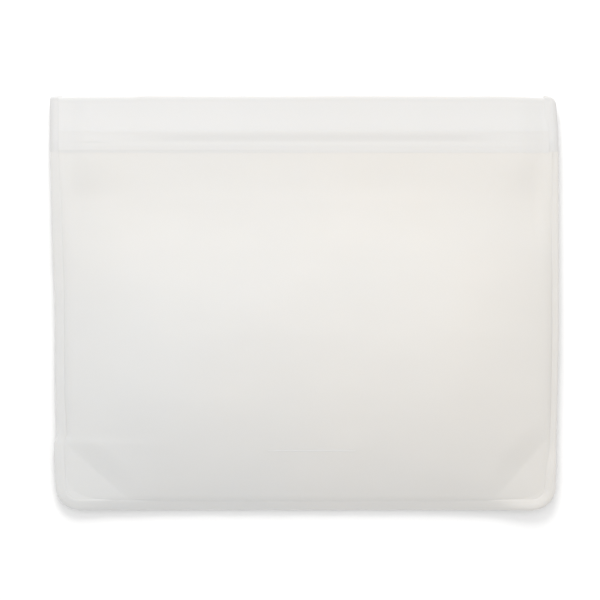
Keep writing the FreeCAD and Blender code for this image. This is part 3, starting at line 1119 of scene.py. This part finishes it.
@dataclass
class Closure(SubAssembly):
    """The press zip: a plate on each half, two beads on the front one and two channels behind."""

    plate_thickness: float = 1.5 * MM
    steps: int = 190

    def build(self) -> None:
        """Build, dress and place the plates, the beads and the channels."""
        for face in Face:
            self._plate(face)
        for level in ("upper", "lower"):
            self._bead(level)
            self._channel(level)

    def _across(self) -> np.ndarray:
        """Places along the zip, from one weld to the other."""
        form, y = self.form, (self.form.closure_foot + self.form.closure_top) / 2.0
        left = float(form.inner_edge(Side.LEFT, np.array(y))) - 1.0 * MM
        right = float(form.inner_edge(Side.RIGHT, np.array(y))) + 1.0 * MM
        return spaced(left, right, self.steps, 0.35)

    @staticmethod
    def _groove(x: np.ndarray, rise: np.ndarray | float) -> np.ndarray:
        """How much a place lies in the groove between the beads, which is sunk a little and darkened with
        painted shade.

        Args:
            x: Places along the zip.
            rise: How far past the plate's foot they are.

        Returns:
            The share, from 0 outside the groove to 1.
        """
        inside = ease((x + 96.0 * MM) / (42.0 * MM)) * ease((104.0 * MM - x) / (30.0 * MM))
        return inside * ease((rise - 4.4 * MM) / (2.2 * MM)) * ease((10.0 * MM - rise) / (2.2 * MM))

    def _painted_shade_mask(self, at: np.ndarray) -> np.ndarray:
        """How much painted shade darkens a plate at each point, shaped (points, 3): in the groove between
        the beads and along the crease at its foot, more toward the left.
        """
        x, rise = at[:, 0], at[:, 1] - self.form.closure_foot
        fade = 0.35 + 0.65 * ease((30.0 * MM - x) / (90.0 * MM))
        return self._groove(x, rise) + 0.5 * bell(rise - 0.8 * MM, 1.0 * MM) * fade

    def _relief(self, x: np.ndarray, y: float) -> np.ndarray:
        """How far the outside of the front plate stands above or below its own level.

        Args:
            x: Places along the zip.
            y: One place across the zip.

        Returns:
            The relief at each x.
        """
        rise = y - self.form.closure_foot
        whole = 1.0 - self.form.closing(x)
        ridge = 0.03 * MM * bell(rise - 10.4 * MM, 1.0 * MM)
        swell = ease((10.2 * MM - rise) / (4.6 * MM)) * ease((rise - 4.7 * MM) / (0.9 * MM))
        left_ridge = 0.11 * MM * swell * bell(x + 109.0 * MM, 17.0 * MM)
        groove = -0.06 * MM * self._groove(x, rise)
        rib = 0.05 * MM * bell(rise - 3.4 * MM, 2.0 * MM)
        foot = -self.form.foot_step(x) * (1.0 - ease((rise - 0.2 * MM) / (1.2 * MM)))
        tuck = -0.15 * MM * ease((y - self.form.closure_top) / (0.3 * MM))
        return (ridge + left_ridge + groove + rib) * (0.25 + 0.75 * whole) + foot + tuck

    def _plate(self, face: Face) -> None:
        """One plate of the zip, with the relief that shows outside.

        Args:
            face: The half of the bag that it is on.
        """
        form, way = self.form, face.value
        x = self._across()
        outside = form.plate_level(x)
        inside = outside - self.plate_thickness * (1.0 - 0.35 * form.closing(x))
        rows = spaced(form.closure_foot - 0.2 * MM, form.closure_top + 0.3 * MM, 44)
        rings = []
        for y in rows:
            up = form.bond + way * (outside + self._relief(x, y))
            rings.append(np.stack([x, np.full_like(x, y), up], axis=-1))
        for y in rows[::-6]:
            rings.append(np.stack([x, np.full_like(x, y), form.bond + way * inside], axis=-1))
        name = face.name.lower()
        piece = swept_solid(f"{name}_closure_band", np.stack(rings, axis=1))
        # Painted shade in the groove and along the foot crease.
        mark_painted_shade(piece, self._painted_shade_mask(points_of(piece)))
        self.hand_over(piece, Finish.CLOSURE, face is Face.FRONT, f"{name}_closure_strip")

    def _rail(self, name: str, outline: list[tuple[float, float]], node: str) -> bpy.types.Object:
        """A straight rail along the zip with a closed outline.

        Args:
            name: The piece's name.
            outline: The outline's points, each a y and a z.
            node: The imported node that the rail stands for.

        Returns:
            The rail.
        """
        half_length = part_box(node)[1].x - 15.0 * MM
        x = spaced(-half_length, half_length, 120)
        rings = [np.stack([x, np.full_like(x, y), np.full_like(x, z)], axis=-1) for y, z in outline]
        return swept_solid(name, np.stack(rings, axis=1))

    def _bead(self, level: str) -> None:
        """One bead: a neck that hangs from the front plate and ends in a round head.

        Args:
            level: Which bead it is, upper or lower.
        """
        low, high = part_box(f"{level}_bead")
        track, radius = (low.y + high.y) / 2.0, (high.y - low.y) / 2.0
        centre, neck = low.z + radius, 0.45 * MM
        start = math.asin(neck / radius)
        turns = np.linspace(math.pi / 2.0 - start, -1.5 * math.pi + start, 18)
        outline = [(track + radius * math.cos(turn), centre + radius * math.sin(turn)) for turn in turns]
        outline += [(track - neck, high.z), (track - neck * 1.8, high.z + 0.3 * MM)]
        outline += [(track + neck * 1.8, high.z + 0.3 * MM), (track + neck, high.z)]
        piece = self._rail(f"{level}_bead_rail", outline, f"{level}_bead")
        self.hand_over(piece, Finish.TRACK, True, f"{level}_bead")

    def _channel(self, level: str) -> None:
        """One channel: two curled jaws that stand on the back plate.

        Args:
            level: Which channel it is, upper or lower.
        """
        low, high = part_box(f"{level}_channel")
        bead_low, bead_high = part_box(f"{level}_bead")
        track, half = (low.y + high.y) / 2.0, (high.y - low.y) / 2.0
        head = (bead_high.y - bead_low.y) / 2.0
        centre, bore, slot = bead_low.z + head, head + 0.3 * MM, 0.75 * MM
        open_turn = math.asin(slot / bore)
        turns = np.linspace(math.pi / 2.0 + open_turn, 2.5 * math.pi - open_turn, 18)
        outline = [(track + bore * math.cos(turn), centre + bore * math.sin(turn)) for turn in turns]
        lip = high.z - 0.35 * MM
        outline += [(track + slot, lip), (track + slot + 0.3 * MM, high.z)]
        outline += [(track + half - 0.4 * MM, high.z)]
        outline += [(track + half, lip), (track + half, low.z - 0.3 * MM)]
        outline += [(track - half, low.z - 0.3 * MM), (track - half, lip)]
        outline += [(track - half + 0.4 * MM, high.z), (track - slot - 0.3 * MM, high.z)]
        outline += [(track - slot, lip)]
        piece = self._rail(f"{level}_channel_rail", outline, f"{level}_channel")
        self.hand_over(piece, Finish.TRACK, False, f"{level}_channel")


@dataclass
class Lips(SubAssembly):
    """The grip lips of both halves, each a middle stretch and two beside it."""

    thickness: float = 1.4 * MM
    middle_hold: float = 30.0 * MM
    peel_run: float = 4.0 * MM
    overrun: float = 0.6 * MM
    edge_radius: float = 0.7 * MM
    steps: int = 90

    def build(self) -> None:
        """Build, dress and place the six stretches."""
        y = np.array((self.form.closure_top + self.form.top) / 2.0)
        left = float(self.form.inner_edge(Side.LEFT, y)) - 1.0 * MM
        right = float(self.form.inner_edge(Side.RIGHT, y)) + 1.0 * MM
        middle = self.form.middle_lip_half
        for face in Face:
            self._stretch(face, "left", left, -middle)
            self._stretch(face, "middle", -middle, middle)
            self._stretch(face, "right", middle, right)

    def _free_edge(self, x: np.ndarray) -> np.ndarray:
        """The lips' free edge, which dips a little toward both corners."""
        right_dip = 0.9 * MM * ease((x - 96.0 * MM) / (28.0 * MM))
        left_dip = 0.45 * MM * ease((-82.0 * MM - x) / (8.0 * MM))
        wave = 0.12 * MM * np.sin(x / (17.0 * MM))
        return self.form.top + self.overrun - right_dip - left_dip + wave

    def _stretch(self, face: Face, word: str, start: float, stop: float) -> None:
        """One stretch of a lip, with a rounded free edge.

        Args:
            face: The half of the bag that the lip is on.
            word: Which stretch it is.
            start: Where it starts across the bag.
            stop: Where it stops.
        """
        form, way = self.form, face.value
        x = spaced(start, stop, self.steps)
        shut = form.closing(x)
        outside = form.plate_level(x)
        thickness = self.thickness * (1.0 - 0.25 * shut)
        root, free = form.closure_top - 0.1 * MM, self._free_edge(x)
        rings = []
        for share in spaced(0.0, 1.0, 26, 0.5):
            y = root + share * (free - self.edge_radius - root)
            rings.append(self._line(x, y, way * (outside + self._dish(x, share))))
        for turn in np.linspace(math.pi / 2.0, -math.pi / 2.0, 9)[1:-1]:
            y = free - self.edge_radius * (1.0 - math.cos(turn))
            up = outside + self._dish(x, 1.0) - thickness / 2.0 * (1.0 - math.sin(turn))
            rings.append(self._line(x, y, way * up))
        for share in spaced(1.0, 0.0, 12, 0.5):
            y = root + share * (free - self.edge_radius - root)
            rings.append(self._line(x, y, way * (outside + self._dish(x, share) - thickness)))
        piece = swept_solid(f"{face.name.lower()}_lip_{word}_skin", np.stack(rings, axis=1))
        name = f"{face.name.lower()}_lip"
        if word == "middle":
            self._hand_over_middle(piece, face, name)
        else:
            self.hand_over(piece, Finish.LIP, face is Face.FRONT, f"{name}_{word}")

    def _line(self, x: np.ndarray, y: np.ndarray, up: np.ndarray) -> np.ndarray:
        """A line of points along a lip, with its height measured from the bond."""
        return np.stack([x, y, self.form.bond + up], axis=-1)

    @staticmethod
    def _dish(x: np.ndarray, share: float) -> np.ndarray:
        """The lip's slight dish between its root and its rolled free edge.

        Args:
            x: Places across the bag.
            share: How far toward the free edge they are, from 0 to 1.

        Returns:
            How far the lip stands above or below its level.
        """
        wave = 0.18 * MM * np.sin(x / (31.0 * MM) + 0.6) * share
        rim = 0.10 * MM * bell(share - 0.95, 0.09)
        return wave - 0.12 * MM * math.sin(math.pi * share) ** 2 + rim

    def _hand_over_middle(self, piece: bpy.types.Object, face: Face, node: str) -> None:
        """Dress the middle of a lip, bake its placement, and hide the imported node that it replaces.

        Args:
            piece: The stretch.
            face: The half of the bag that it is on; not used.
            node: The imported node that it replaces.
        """
        self.wardrobe.dress(piece, Finish.LIP)
        at, run = points_of(piece), self.form.middle_lip_half - self.middle_hold
        share_between(piece)
        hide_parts(node)
        self.report(piece)


# --- Studio ---


@dataclass
class Studio:
    """The floor, the lights and the camera."""

    camera_height: float = 1.25
    view_width: float = 0.3067
    view_centre: tuple[float, float] = (-0.0023, 0.0020)
    bag_level: float = 0.010
    floor_half: float = 3.0
    floor_white: float = 0.97
    sky: float = 0.92

    def build(self) -> None:
        """Build the studio."""
        self._floor()
        self._world()
        self._light("key", (-0.06, 0.69, 0.64), 0.45, 4.2, (1.0, 0.99, 0.97))
        self._camera()
        settings = bpy.context.scene.view_settings
        settings.view_transform = "Standard"
        settings.look = "None"

    def _floor(self) -> None:
        """A plain white floor."""
        bm = bmesh.new()
        bmesh.ops.create_grid(bm, x_segments=4, y_segments=4, size=self.floor_half)
        floor = finished(bm, "floor")
        material = bpy.data.materials.new("floor_white")
        material.use_nodes = True
        shader = material.node_tree.nodes["Principled BSDF"]
        shader.inputs["Base Color"].default_value = (*[self.floor_white] * 3, 1.0)
        shader.inputs["Roughness"].default_value = 0.9
        shader.inputs["Specular IOR Level"].default_value = 0.1
        floor.data.materials.append(material)

    def _world(self) -> None:
        """Soft light from all round."""
        world = bpy.data.worlds.new("studio")
        world.use_nodes = True
        back = world.node_tree.nodes["Background"]
        back.inputs["Color"].default_value = (1.0, 1.0, 1.0, 1.0)
        back.inputs["Strength"].default_value = self.sky
        bpy.context.scene.world = world

    @staticmethod
    def _light(
        name: str, at: tuple[float, float, float], size: float, power: float,
        colour: tuple[float, float, float],
    ) -> None:
        """A square soft light that faces the bag.

        Args:
            name: The light's name.
            at: Where it stands.
            size: The length of its side.
            power: Its power in watts.
            colour: Its colour.
        """
        data = bpy.data.lights.new(name, "AREA")
        data.size = size
        data.energy = power
        data.color = colour
        light = bpy.data.objects.new(name, data)
        light.location = at
        light.rotation_euler = (-Vector(at)).to_track_quat("-Z", "Y").to_euler()
        bpy.context.scene.collection.objects.link(light)

    def _camera(self) -> None:
        """A long lens straight above the bag, with its mouth at the top of the view."""
        data = bpy.data.cameras.new("camera")
        data.lens = data.sensor_width * (self.camera_height - self.bag_level) / self.view_width
        data.clip_end = 20.0
        camera = bpy.data.objects.new("camera", data)
        camera.location = (*self.view_centre, self.camera_height)
        bpy.context.scene.collection.objects.link(camera)
        bpy.context.scene.camera = camera


def main() -> None:
    """Build the bag and its studio in order."""
    logging.basicConfig(level=logging.INFO, format="%(name)s: %(message)s")
    form = BagForm.from_frame()
    wardrobe = Wardrobe()
    Studio().build()
    BondedEdge(form, wardrobe).build()
    Walls(form, wardrobe).build()
    Closure(form, wardrobe).build()
    Lips(form, wardrobe).build()


if __name__ == "__main__":
    main()
